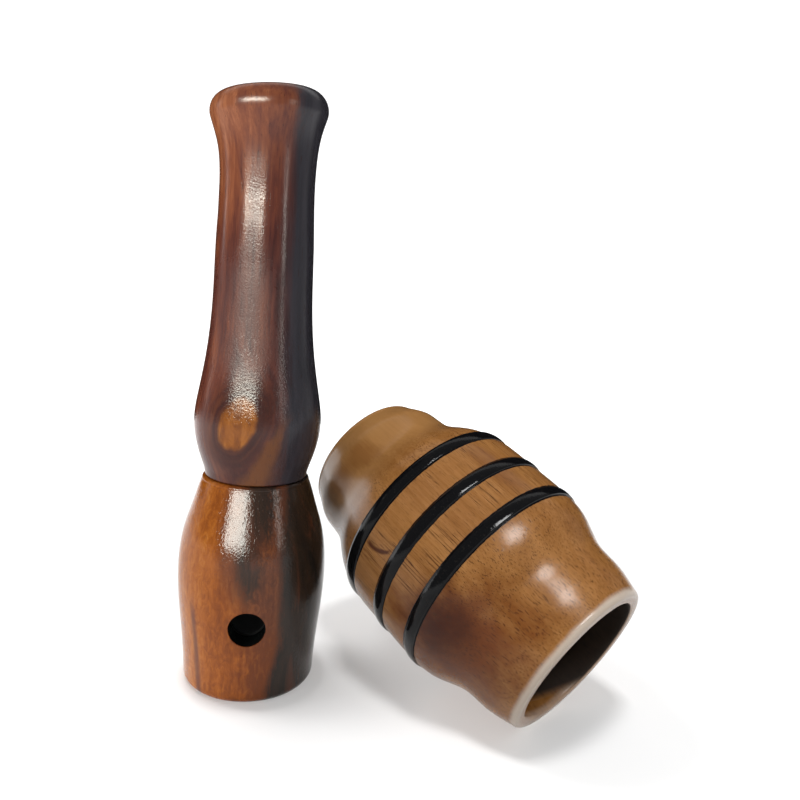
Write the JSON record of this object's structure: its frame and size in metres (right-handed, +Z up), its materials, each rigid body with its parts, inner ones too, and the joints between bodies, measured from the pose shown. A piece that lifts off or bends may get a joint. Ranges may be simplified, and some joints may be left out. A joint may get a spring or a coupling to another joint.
{
  "type": "bird call",
  "caption": "Turned wooden bird call with a reed voice, a pull-off mouthpiece and a side port, with its loose black-banded barrel standing tipped beside it.",
  "frame": {"origin": "centre of the exhaust bore at the call's foot, on the floor", "axes": "+Z up along the call's axis from foot to lip, -Y out of the side port, +X towards the barrel"},
  "size_m": [0.1117, 0.083, 0.1442],
  "materials": {
    "call_wood": "glossy",
    "barrel_wood": "glossy",
    "black_rubber": "glossy",
    "voice_plastic": "satin",
    "reed_plastic": "satin",
    "cork": "matte"
  },
  "bodies": {
    "end_piece": {"end_piece": "call_wood", "tone_board": "voice_plastic", "reed_wedge": "cork"},
    "tenon_ring": {"tenon_ring": "black_rubber"},
    "mouthpiece": {"mouthpiece": "call_wood"},
    "reed": {"reed": "reed_plastic"},
    "barrel": {"barrel": "barrel_wood", "band_ring_far": "black_rubber", "band_ring_middle": "black_rubber", "band_ring_near": "black_rubber"}
  },
  "joints": [
    {"name": "tenon_twist", "type": "hinge", "parent": "end_piece", "child": "tenon_ring", "pos_m": [0, 0, 0.0615], "axis": [0, 0, 1], "continuous": true},
    {"name": "mouthpiece_pull", "type": "slide", "parent": "tenon_ring", "child": "mouthpiece", "axis": [0, 0, 1], "range_m": [0, 0.07]},
    {"name": "reed_flex", "type": "hinge", "parent": "end_piece", "child": "reed", "pos_m": [0, -0.00162, 0.07355], "axis": [-1, 0, 0], "range_deg": [0, 1.8], "stiffness_Nm_per_rad": 0.02},
    {"name": "barrel_lift", "type": "slide", "parent": "end_piece", "child": "barrel", "axis": [0.6, 0, 0.8], "range_m": [0, 0.06]}
  ]
}
